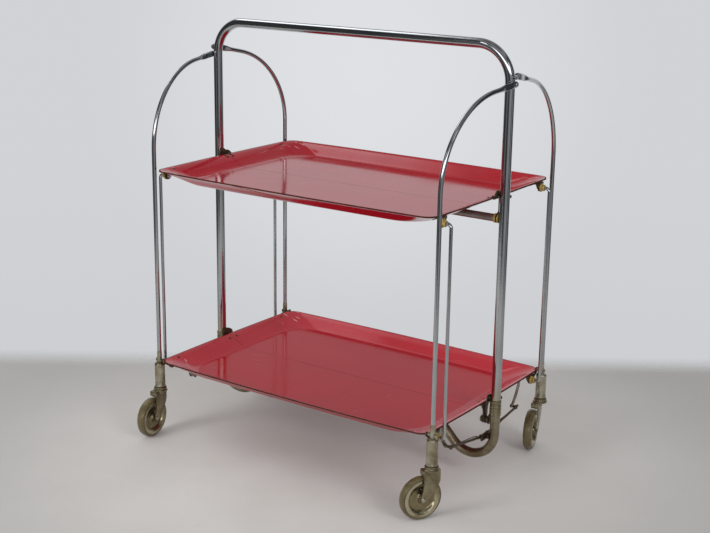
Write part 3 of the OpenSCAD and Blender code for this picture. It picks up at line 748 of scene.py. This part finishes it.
for sd, t in SIDE.items():
    sh = Shape()
    upper_leaf(sh, 118 if t < 0 else 123, t)
    corner(sh, 512, t, False)
    # small straps over the rim beside the upright
    for s in (-1, 1):
        pts = [(295.4, -2.2), (295.9, 0.2), (294.6, 1.1), (290.5, 0.1), (285, -3.0), (279.5, -7.0)]
        for a, b in ((6.0, 9.6),):
            path = [Vector((s * x, t * (a + b) / 2 + t * 0.0, 512 + z)) for x, z in pts]
            w2 = (b - a) / 2
            sweep(sh, path, [(-w2, -0.5), (w2, -0.5), (w2, 0.5), (-w2, 0.5)], N=Y)
        lathe(sh, [(0, -3.5), (1.3, -3.5), (1.3, 0.9), (2.2, 0.95), (2.0, 1.4), (1.0, 1.75), (0, 1.85)],
              (s * 283.2, t * 7.8, 512 + rim_h(283.2)), Vector((-s * 0.5, 0, 0.87)), 20)
    sh.build(f"upper_{sd}_hinge_fittings", [M_BRONZE], f"upper_{sd}", [f"upper_{sd}_fittings"])
    sh = Shape()
    lower_leaf(sh, 290.5 if t < 0 else 286.5, t)
    corner(sh, 151, t, True)
    sh.build(f"lower_{sd}_hinge_fittings", [M_BRONZE], f"lower_{sd}", [f"lower_{sd}_fittings"])
    for lvl, zr in (("upper", 512), ("lower", 151)):
        sh = Shape()
        for s in (-1, 1):
            prof = fillet([(3.08, 290.75), (7.4, 290.75), (7.6, 291.4), (7.6, 292.8), (6.2, 293.4), (5.6, 294.2), (5.6, 297.6), (5.0, 298.8), (3.08, 298.9)], 0.35, 3)
            lathe(sh, prof, (0, t * 166.5, zr - 14), X * s, 48)
        sh.build(f"{lvl}_{sd}_rod_bushes", [M_BRASS], f"{lvl}_{sd}", [f"{lvl}_{sd}_bushes"])
    sh = Shape()
    for s in (-1, 1):
        lathe(sh, [(0, 286.6), (2.6, 286.7), (3.8, 287.2), (4.0, 288.2), (2.5, 288.35), (2.5, 305.1), (3.9, 305.2), (3.9, 305.8), (2.8, 306.5), (0, 306.8)],
              (0, t * 190, 150), X * s, 32)
    sh.build(f"{sd}_leg_pivot_pins", [M_NICKEL], f"lower_{sd}", [f"{sd}_leg_pins"])
    # bent stay arms
    sh = Shape()
    for s in (-1, 1):
        f = [(272, under(272)), (282.4, under(282.4)), (282.4, under(282.4) - 1.6), (272, under(272) - 1.6)]
        plate(sh, [(p[0] * s, p[1]) for p in f], (0, t * 130, 151), X, Z, Y * t, 15, 0.35)
        c = [(-137.6, 141.5), (-137.5, 138.2), (-136.8, 133.5), (-134, 127.5), (-128, 116.5), (-122, 107.5), (-118, 103.0), (-114, 100.0), (-111.4, 98.4)]
        n_ = len(c)
        path = []
        for i in range(n_ - 1):
            for q in range(4):
                u_ = q / 4
                path.append(Vector((s * 281.25, (c[i][0] + (c[i + 1][0] - c[i][0]) * u_) * -t, c[i][1] + (c[i + 1][1] - c[i][1]) * u_)))
        path.append(Vector((s * 281.25, c[-1][0] * -t, c[-1][1])))

        def sec(i, n=len(path)):
            h = 3.9 - 1.1 * (i / n)
            if i >= n - 4:
                d = (n - 1 - i) / 3.0
                h = 3.1 * math.sqrt(max(0.02, 1 - (1 - d) ** 2))
            return [(-1.2, -h), (-0.9, -h - 0.3), (0.9, -h - 0.3), (1.2, -h), (1.2, h), (0.9, h + 0.3), (-0.9, h + 0.3), (-1.2, h)]

        sweep(sh, path, sec, N=X)
        lathe(sh, [(0, 278.6), (2.4, 278.8), (3.4, 279.4), (3.6, 280.1), (0, 280.2)], (0, t * 114, 100), X * s, 24)
    sh.build(f"{sd}_stay_arm_straps", [M_STRAP], f"lower_{sd}", [f"{sd}_stay_arms"])
    # stay links with a bead on the joint, and the wire spring along them
    sh = Shape()
    L = math.hypot(103, 15.8)
    ang = math.atan2(15.8, 103)
    for s in (-1, 1):
        d = Vector((0, t * math.cos(ang), math.sin(ang)))
        nrm = X.cross(d)
        o0 = Vector((0, t * 11, SZ))
        outline = [(3.9 * math.cos(math.radians(a)), 3.9 * math.sin(math.radians(a))) for a in range(90, 271, 15)]
        outline += [(9, -2.1), (L - 9, -2.1)]
        outline += [(L + 3.9 * math.cos(math.radians(a)), 3.9 * math.sin(math.radians(a))) for a in range(-90, 91, 15)]
        outline += [(L - 9, 2.1), (9, 2.1)]
        plate(sh, outline, o0 + X * (s * 289), d, nrm, X * s, 2.2, 0.4, holes=[(0, 0, 2.56)])
        lathe(sh, [(0, 284.2), (2.5, 284.2), (2.5, 289.0), (3.6, 289.1), (3.6, 291.1), (4.0, 291.3), (3.6, 292.2), (2.0, 292.9), (0, 293.1)],
              (0, t * 114, 100), X * s, 24)
        # thin wire spring hooked round the joint and, at its other end, over the link
        wire = [(118, 101.0), (116.5, 104.0), (112, 104.6), (96, 101.4), (72, 98.6), (50, 96.4), (35, 93.8), (27.0, 90.6), (24.5, 87.6), (24.0, 84.6)]
        fine = []
        for i in range(len(wire) - 1):
            p0, p1, p2, p3 = (Vector(wire[max(0, min(len(wire) - 1, i + k))]) for k in (-1, 0, 1, 2))
            for q in range(5):
                u_ = q / 5
                fine.append(((2 * p1) + (p2 - p0) * u_ + (2 * p0 - 5 * p1 + 4 * p2 - p3) * u_ ** 2 + (3 * p1 - p0 - 3 * p2 + p3) * u_ ** 3) * 0.5)
        fine.append(Vector(wire[-1]))
        sweep(sh, [Vector((s * 292.6, t * q.x, q.y)) for q in fine], circle(0.75, 10), N=X)
    sh.build(f"{sd}_stay_link_bars", [M_BRONZE], f"{sd}_stays", [f"{sd}_stay_links"])

# ------------------------------------------------------------ legs
tilt = math.atan2(321.4 - 300, 190 - 6)


def leg(name, body, node, s, t, cz, e, zp):
    R = 150.0
    reach = (190 - 5) / math.cos(tilt)
    p = (R - R * math.cos(math.radians(e)), cz + R * math.sin(math.radians(e)))
    q = (reach, p[1] + (reach - p[0]) / math.tan(math.radians(e)))
    path2 = join(line((0, 152), (0, cz), 34), arc((R, cz), R, 180, 180 - e, 44), line(p, (q[0], zp), 14))
    # on to the eye's centre and round its end
    end = Vector((190 / math.cos(tilt), zp))
    for k in range(1, 10):
        path2.append(Vector((q[0] + (end.x - 0.6 - q[0]) * k / 9, zp)))
    for dd in (1.6, 3.2, 4.2, 4.9, 5.3, 5.5):
        path2.append(Vector((end.x - 0.6 + dd, zp)))
    du = Vector((math.sin(tilt) * s, math.cos(tilt) * -t, 0))
    base = Vector((300 * s, 190 * t, 0))
    pts, flat = [], []
    for a in path2:
        w = base + du * a.x + Z * a.y
        # the flattened end lies square against the upright
        f = max(0.0, min(1.0, (a.x - (end.x - 46)) / 18))
        f = f * f * (3 - 2 * f)
        lim = 320.7
        if a.x > end.x - 28:
            g = max(0.0, min(1.0, (a.x - (end.x - 28)) / 20))
            g = g * g * (3 - 2 * g)
            w.x = s * (abs(w.x) * (1 - g) + lim * g)
        pts.append(w)
        flat.append((f, a.x - (end.x - 0.6)))
    N = Vector((math.cos(tilt) * s, math.sin(tilt) * t, 0))

    def sec(i):
        f, past = flat[i]
        a = 4.0 * (1 - f) + 1.75 * f
        b = 4.0 * (1 - f) + 5.6 * f
        if past > 0:
            b = 5.6 * math.sqrt(max(0.02, 1 - (past / 5.55) ** 2))
            a = 1.75 * (0.75 + 0.25 * math.sqrt(max(0.0, 1 - (past / 5.55) ** 2)))
        out = []
        ex = 2.0 + 2.0 * f
        for k in range(28):
            th = 2 * math.pi * k / 28
            c_, s_ = math.cos(th), math.sin(th)
            out.append((a * math.copysign(abs(c_) ** (2 / ex), c_), b * math.copysign(abs(s_) ** (2 / ex), s_)))
        return out

    sh = Shape()
    sweep(sh, pts, sec, N=N)
    sh.build(name, [M_ROD], body, [node])


for sd, t in SIDE.items():
    for nm, s in (("left", -1), ("right", 1)):
        if t < 0:
            leg(f"{sd}_{nm}_leg_rod", f"{sd}_legs", f"{sd}_leg_{nm}", s, t, 545.0, 83.0, 700.0)
        else:
            leg(f"{sd}_{nm}_leg_rod", f"{sd}_legs", f"{sd}_leg_{nm}", s, t, 552.0, 78.0, 713.0)
        # link rod
        sh = Shape()
        zt, zb, b = 498.0, 137.0, 7.0
        path2 = join(line((287.3, zb), (307.6 - b, zb), 4), arc((307.6 - b, zb + b), b, -90, 0, 12), line((307.6, zb + b), (307.6, zt - b), 30),
                     arc((307.6 - b, zt - b), b, 0, 90, 12), line((307.6 - b, zt), (287.3, zt), 4))
        sweep(sh, [(p.x * s, t * 166.5, p.y) for p in path2], circle(3.0, 24), N=Y)
        for z_ in (zt, zb):
            lathe(sh, [(0, 285.9), (3.0, 286.0), (4.4, 286.6), (4.4, 287.6), (3.2, 287.9), (0, 287.9)], (0, t * 166.5, z_), X * s, 28)
        sh.build(f"{sd}_{nm}_link_wire", [M_ROD], f"{sd}_links", [f"{sd}_link_{nm}"])
    # foot of each leg: sleeve and socket
    sh = Shape()
    for s in (-1, 1):
        prof = [(0, 145), (4.8, 145), (5.0, 145.8), (5.0, 147.2), (4.5, 147.8), (4.5, 164.5), (4.4, 165.4), (4.05, 168.4), (4.05, 169.0), (0, 169.0)]
        lathe(sh, prof, (s * 300, t * 190, 0), Z, 40, closed=False)
    sh.build(f"{sd}_leg_sleeves", [M_NICKEL], f"{sd}_legs", [f"{sd}_leg_ferrules"])
    sh = Shape()
    for s in (-1, 1):
        prof = [(4.55, 98.2), (9.7, 98.2), (10.0, 98.8), (10.0, 100.4), (9.6, 101.2), (9.5, 139.0), (9.8, 139.6), (9.8, 141.6), (9.3, 142.8), (8.4, 144.2), (7.4, 145.0), (0, 145.0), (0, 141.5), (4.55, 141.5)]
        lathe(sh, prof, (s * 300, t * 190, 0), Z, 56)
    sh.build(f"{sd}_caster_stem_sockets", [M_NICKEL], f"{sd}_legs", [f"{sd}_caster_sockets"])

# ---------------------------------------------------------------- casters
CASTERS = {"front_left": (-1, -1, -84), "front_right": (1, -1, -119), "rear_left": (-1, 1, 90), "rear_right": (1, 1, -74)}
TRAIL, WS, WR = 13.0, 12.0, 37.5
for nm, (sx, sy, e) in CASTERS.items():
    ca, sa = math.cos(math.radians(e)), math.sin(math.radians(e))
    lx, ly = Vector((ca, sa, 0)), Vector((-sa, ca, 0))
    o = Vector((sx * 300, sy * 190, 0))
    sh = Shape()
    # stem and collars
    lathe(sh, [(0, 82), (4.5, 82), (4.5, 139.0), (3.6, 140), (0, 140)], o, Z, 32)
    lathe(sh, fillet([(4.4, 88.6), (12.6, 88.6), (13.3, 90.0), (13.0, 91.8), (11.6, 92.8), (11.2, 93.6), (11.9, 94.4), (11.9, 96.2), (10.6, 97.8), (4.4, 97.8)], 0.4, 3), o, Z, 64)
    # folded crown over the wheel with its long arm on one side
    plate(sh, fillet([(-17.0, -14.0), (14.0, -14.0), (14.0, 1.0), (-17.0, 1.0)], 1.4), o + Z * 85.4, lx, ly, Z, 3.4, 0.8, seg=3)
    arm = [(-17.0, 88.2), (14.0, 88.2), (13.4, 78), (12.6, 66), (14.2, 54), (TRAIL + 5.6, 40.5), (TRAIL + 4.6, 34.2), (TRAIL, 31.6), (TRAIL - 5.4, 33.2),
           (4.0, 38.4), (-5.0, 47.5), (-12.4, 58.0), (-17.0, 68.0)]
    arm = fillet(arm, [1.5, 1.5, 10, 14, 10, 5, 5, 5, 5, 8, 14, 10, 3], 5)
    plate(sh, arm, o + ly * 1.0, lx, Z, -ly, 2.6, 0.6, seg=3, holes=[(TRAIL, WR, 2.55)])
    flange = fillet([(-17.0, 88.2), (14.0, 88.2), (13.4, 78.5), (-16.4, 78.5)], [1.5, 1.5, 2, 2])
    plate(sh, flange, o - ly * 14.0, lx, Z, ly, 2.0, 0.5)
    plate(sh, fillet([(-13.6, 88.2), (0.4, 88.2), (0.4, 78.0), (-13.6, 79.5)], 1.0), o + lx * 12.0, ly, Z, lx, 2.0, 0.5)
    sh.build(f"{nm}_caster_fork", [M_FORK], f"caster_{nm}", [f"fork_{nm}"])
    # axle
    sh = Shape()
    ax = o + lx * TRAIL + Z * WR
    lathe(sh, [(0, -2.4), (2.2, -2.3), (3.9, -1.7), (4.4, -1.05), (4.4, -1.0), (2.5, -0.98), (2.5, 19.5), (4.9, 19.6), (4.9, 20.5), (3.6, 21.1), (0, 21.4)],
          ax, -ly, 32)
    sh.build(f"{nm}_wheel_axle", [M_NICKEL], f"caster_{nm}", [f"axle_{nm}"])
    # disc with hub, pressed web and bright ring
    sh = Shape()
    c = ax - ly * WS
    half = [(2.55, 8.2), (5.2, 8.2), (6.0, 7.6), (6.6, 5.2), (8.4, 3.6), (11, 3.0), (18.5, 2.8), (22.0, 3.3), (24.0, 4.8), (25.0, 6.6), (26.4, 7.7), (29.0, 8.15), (31.6, 8.1),
            (32.5, 7.75), (32.6, 7.45), (30.0, 7.0), (28.45, 6.2)]
    prof = half + [(r, -h) for r, h in reversed(half)]
    mt = []
    for i in range(len(prof)):
        r = prof[i][0]
        mt.append(1 if r >= 23.9 else 0)
    lathe(sh, prof, c, ly, 88, mats=mt)
    # a row of pressed beads round the web on both faces
    for k in range(5):
        a = math.radians(72 * k + 20)
        dirn = lx * math.cos(a) + Z * math.sin(a)
        for f in (-1, 1):
            lathe(sh, [(0, 2.2), (2.0, 2.5), (1.8, 3.3), (1.1, 3.7), (0, 3.8)], c + dirn * 15.2, ly * f, 18)
    sh.build(f"{nm}_wheel_disc", [M_DISC, M_RING], f"wheel_{nm}", [f"disc_{nm}"])
    sh = Shape()
    half = [(28.5, 6.0), (30.0, 6.8), (32.7, 7.2), (33.3, 7.75), (34.2, 7.85), (35.3, 7.2), (36.4, 5.9), (37.1, 4.2), (37.45, 2.2), (37.5, 0.7)]
    prof = half + [(r, -h) for r, h in reversed(half)]
    lathe(sh, prof, c, ly, 96)
    sh.build(f"{nm}_hard_tyre", [M_TYRE], f"wheel_{nm}", [f"tyre_{nm}"])

# ------------------------------------------------------------------- stage
floor_m = Mat("pale_floor")
a = floor_m.ramp(floor_m.noise(3.0, 6, 0.6), 0.3, 0.7)
b = floor_m.ramp(floor_m.noise(55, 5, 0.65, off=(3, 1, 0)), 0.63, 0.70)
c = floor_m.mix(a, (0.520, 0.505, 0.490), (0.465, 0.449, 0.432))
c = floor_m.mix(floor_m.math("MULTIPLY", b, 0.16), c, (0.27, 0.255, 0.24))
# painted pool of light: the floor's colour is lighter near the trolley and darker further out, standing in for light
# round it and lightening the shadows under it
painted_pool_dist = floor_m.n("ShaderNodeVectorMath", operation="LENGTH")
floor_m.l(floor_m.co, painted_pool_dist.inputs[0])
c = floor_m.mix(floor_m.ramp(painted_pool_dist.outputs["Value"], 0.24, 0.78, 0.0, 0.92), c, (0.305, 0.299, 0.289))
floor_m.color(c)
floor_m.rough(0.6)
floor_m.b.inputs["Specular IOR Level"].default_value = 0.25
floor_m.bump(floor_m.noise(40, 4), 0.1, 0.001)
bpy.ops.mesh.primitive_circle_add(vertices=128, radius=2.4, fill_type="NGON", location=(0, 0, 0))
floor = bpy.context.object
floor.name = "studio_floor"
floor.data.materials.append(floor_m.m)
# the floor ends softly at the foot of the wall behind and fades out all round
ln = floor_m.n("ShaderNodeVectorMath", operation="LENGTH")
floor_m.l(floor_m.co, ln.inputs[0])
dt = floor_m.n("ShaderNodeVectorMath", operation="DOT_PRODUCT")
floor_m.l(floor_m.co, dt.inputs[0])
dt.inputs[1].default_value = (-0.572, 0.820, 0.0)
back = floor_m.ramp(dt.outputs["Value"], 0.375, 0.495, 1.0, 0.0)
fade = floor_m.math("MULTIPLY", floor_m.ramp(ln.outputs["Value"], 1.0, 1.9, 1.0, 0.0), back)
floor_m.l(fade, floor_m.b.inputs["Alpha"])

world = bpy.data.worlds.new("studio")
scene.world = world
world.use_nodes = True
wt = world.node_tree
wt.nodes.clear()


def wn(kind, ins=None, **kw):
    n = wt.nodes.new(kind)
    for k, v in kw.items():
        setattr(n, k, v)
    for k, v in (ins or {}).items():
        if isinstance(v, bpy.types.NodeSocket):
            wt.links.new(v, n.inputs[k])
        else:
            n.inputs[k].default_value = v
    return n


def wramp(src, lo, hi, a, b):
    n = wn("ShaderNodeMapRange", {"Value": src, "From Min": lo, "From Max": hi, "To Min": a, "To Max": b})
    n.interpolation_type = "SMOOTHSTEP"
    return n.outputs[0]


wo = wn("ShaderNodeOutputWorld")
tc = wn("ShaderNodeTexCoord")
lp = wn("ShaderNodeLightPath")
gen = tc.outputs["Generated"]
flat = wn("ShaderNodeVectorMath", {0: gen, 1: (1.0, 1.0, 0.0)}, operation="MULTIPLY")
hor = wn("ShaderNodeVectorMath", {0: flat.outputs[0]}, operation="NORMALIZE").outputs[0]
sz = wn("ShaderNodeSeparateXYZ", {0: gen})
height = sz.outputs[2]


def toward(deg, half, soft, value):
    """A soft vertical band of the surroundings; deg is counted from the camera's side, to its right."""
    az = math.radians(-58.9 + deg)
    d = wn("ShaderNodeVectorMath", {0: hor, 1: (math.cos(az), math.sin(az), 0.0)}, operation="DOT_PRODUCT").outputs["Value"]
    return wramp(d, math.cos(math.radians(half + soft)), math.cos(math.radians(half)), 0.0, value)


def wmax(a, b):
    return wn("ShaderNodeMath", {0: a, 1: b}, operation="MAXIMUM").outputs[0]


env = toward(180, 38, 24, 0.66)
for deg, half, soft, value in ((27, 13, 24, 0.26), (-50, 4, 12, 0.13), (78, 3, 8, 0.28)):
    env = wmax(env, toward(deg, half, soft, value))
env = wn("ShaderNodeMath", {0: env, 1: wramp(height, 0.35, 0.75, 1.0, 0.25)}, operation="MULTIPLY").outputs[0]
env = wn("ShaderNodeMath", {0: env, 1: 0.045}, operation="ADD").outputs[0]
# the lit upper part of the room on the camera's side
up = wn("ShaderNodeMath", {0: wramp(height, 0.13, 0.21, 0.0, 1.0), 1: wramp(height, 0.38, 0.48, 1.0, 0.08)}, operation="MULTIPLY").outputs[0]
upa = toward(-4, 34, 14, 2.6)
env = wmax(env, wn("ShaderNodeMath", {0: up, 1: upa}, operation="MULTIPLY").outputs[0])
# a pale strip of ceiling over the camera
ceil = wn("ShaderNodeMath", {0: wramp(height, 0.70, 0.80, 0.0, 0.30), 1: wramp(height, 0.86, 0.94, 1.0, 0.35)}, operation="MULTIPLY").outputs[0]
env = wmax(env, ceil)
# a bright patch of ceiling over the far left end
lamp = wn("ShaderNodeVectorMath", {0: gen, 1: (-0.552, 0.080, 0.830)}, operation="DOT_PRODUCT").outputs["Value"]
side = wramp(sz.outputs[0], -0.545, -0.495, 1.0, 0.12)
env = wmax(env, wn("ShaderNodeMath", {0: wramp(lamp, 0.935, 0.985, 0.0, 2.3), 1: side}, operation="MULTIPLY").outputs[0])
bg_env = wn("ShaderNodeBackground", {0: (1.0, 1.0, 1.03, 1), 1: env})
# painted light on the backdrop: the wall seen straight from the camera is brightest round the middle of the view, as if
# lit there, and a little darker at the very bottom
c1 = wn("ShaderNodeVectorMath", {0: gen, 1: (-0.548, 0.796, -0.120)}, operation="DOT_PRODUCT").outputs["Value"]
wall = wramp(c1, 0.952, 0.998, 0.885, 1.20)
low = wramp(height, -0.40, -0.18, 0.95, 1.0)
wallv = wn("ShaderNodeMath", {0: wall, 1: low}, operation="MULTIPLY").outputs[0]
bg_cam = wn("ShaderNodeBackground", {0: (0.715, 0.730, 0.755, 1), 1: wallv})
bg_dif = wn("ShaderNodeBackground", {0: (1.0, 1.0, 1.0, 1), 1: 0.78})
m1 = wn("ShaderNodeMixShader", {0: lp.outputs["Is Diffuse Ray"], 1: bg_env.outputs[0], 2: bg_dif.outputs[0]})
m2 = wn("ShaderNodeMixShader", {0: lp.outputs["Is Camera Ray"], 1: m1.outputs[0], 2: bg_cam.outputs[0]})
wt.links.new(m2.outputs[0], wo.inputs[0])


def area(name, loc, target, size, power, size_y=None, seen=True):
    d = bpy.data.lights.new(name, "AREA")
    d.energy = power
    d.size = size
    if size_y:
        d.shape = "RECTANGLE"
        d.size_y = size_y
    o = bpy.data.objects.new(name, d)
    scene.collection.objects.link(o)
    o.location = loc
    o.rotation_euler = (Vector(target) - Vector(loc)).to_track_quat("-Z", "Y").to_euler()
    o.visible_glossy = seen
    return o


area("key_left", (-0.9, -2.6, 1.65), (0, 0, 0.25), 1.0, 35, 0.9, seen=False)
area("key_right", (2.8, -1.0, 1.7), (0, 0, 0.25), 1.0, 31, 0.9, seen=False)
area("top_light", (0.0, 0.2, 2.7), (0, 0, 0.2), 1.8, 5, seen=False)
area("fill_low", (-0.7, -2.0, 0.42), (0, 0, 0.04), 1.7, 15, 0.5, seen=False)
area("glint_left", (-0.75, -2.2, 1.9), (0, 0, 0.6), 0.34, 1.3, 0.6)
area("glint_right", (2.4, -0.7, 2.0), (0, 0, 0.6), 0.34, 1.1, 0.6)
